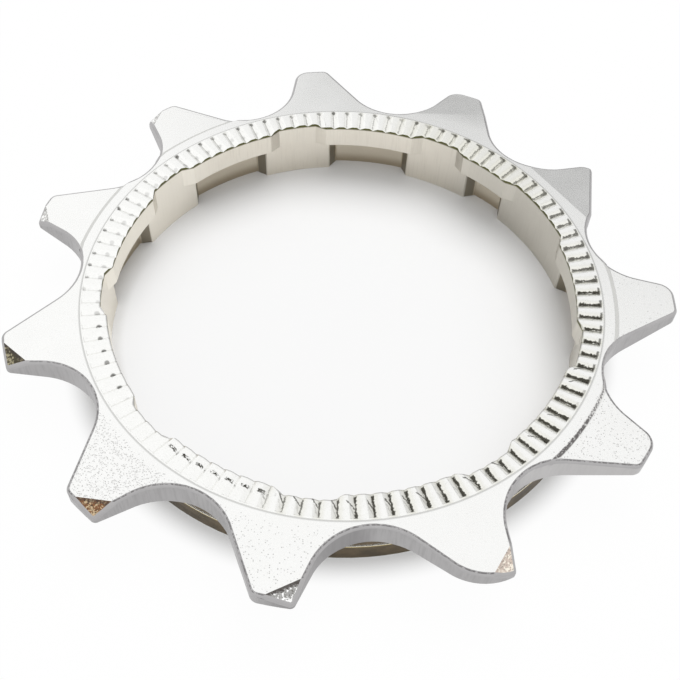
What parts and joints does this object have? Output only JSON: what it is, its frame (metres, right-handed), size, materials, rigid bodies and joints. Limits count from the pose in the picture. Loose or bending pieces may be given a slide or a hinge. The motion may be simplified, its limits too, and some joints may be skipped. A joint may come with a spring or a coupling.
{
  "type": "bicycle cassette cog",
  "caption": "Small steel chain cog with hooked asymmetric teeth, a serrated face ring, a spacer collar behind and a splined bore with a narrow key spline.",
  "frame": {"origin": "on the bore's axis, at the foot of the spacer collar, which is the face that the cog lies on", "axes": "+Z along the bore's axis, from the collar's foot to the serrated face; +X to the right and +Y away from the viewer in the picture"},
  "size_m": [0.0464, 0.0466, 0.0049],
  "materials": {
    "plated_steel": "satin nickel plating"
  },
  "bodies": {
    "root": {"cassette_cog": "plated_steel"}
  },
  "joints": []
}
